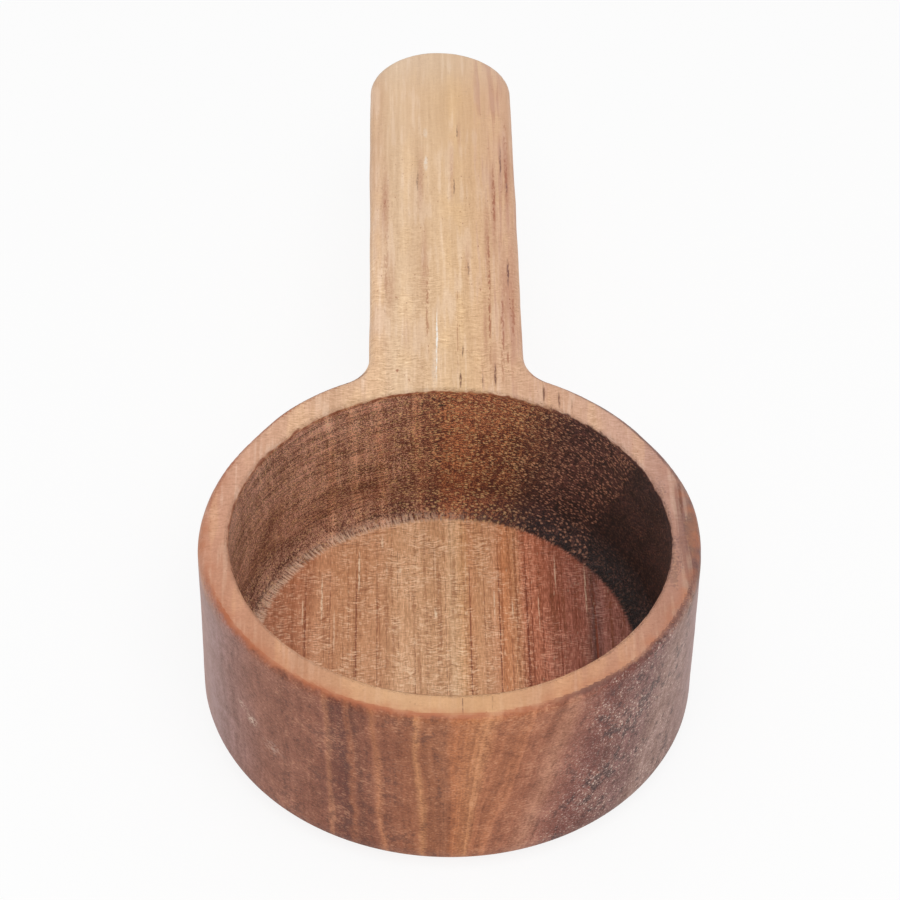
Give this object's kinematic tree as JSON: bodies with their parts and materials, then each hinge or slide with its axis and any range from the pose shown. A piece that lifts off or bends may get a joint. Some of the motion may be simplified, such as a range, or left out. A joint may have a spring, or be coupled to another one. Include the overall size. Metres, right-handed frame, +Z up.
{
  "type": "measuring spoon",
  "caption": "Short-handled hardwood measuring scoop: round straight-walled cup with a flat base, its rim level with a flat, round-ended handle.",
  "frame": {"origin": "centre of the cup's flat base, on the cup's axis", "axes": "+Z up along the cup's axis to the rim, +Y along the handle to its tip, +X across the cup"},
  "size_m": [0.053, 0.1157, 0.023],
  "materials": {
    "wood": "oiled satin hardwood, grain along the handle, end grain on the cup's front and back walls"
  },
  "bodies": {
    "root": {"scoop": "wood"}
  },
  "joints": []
}
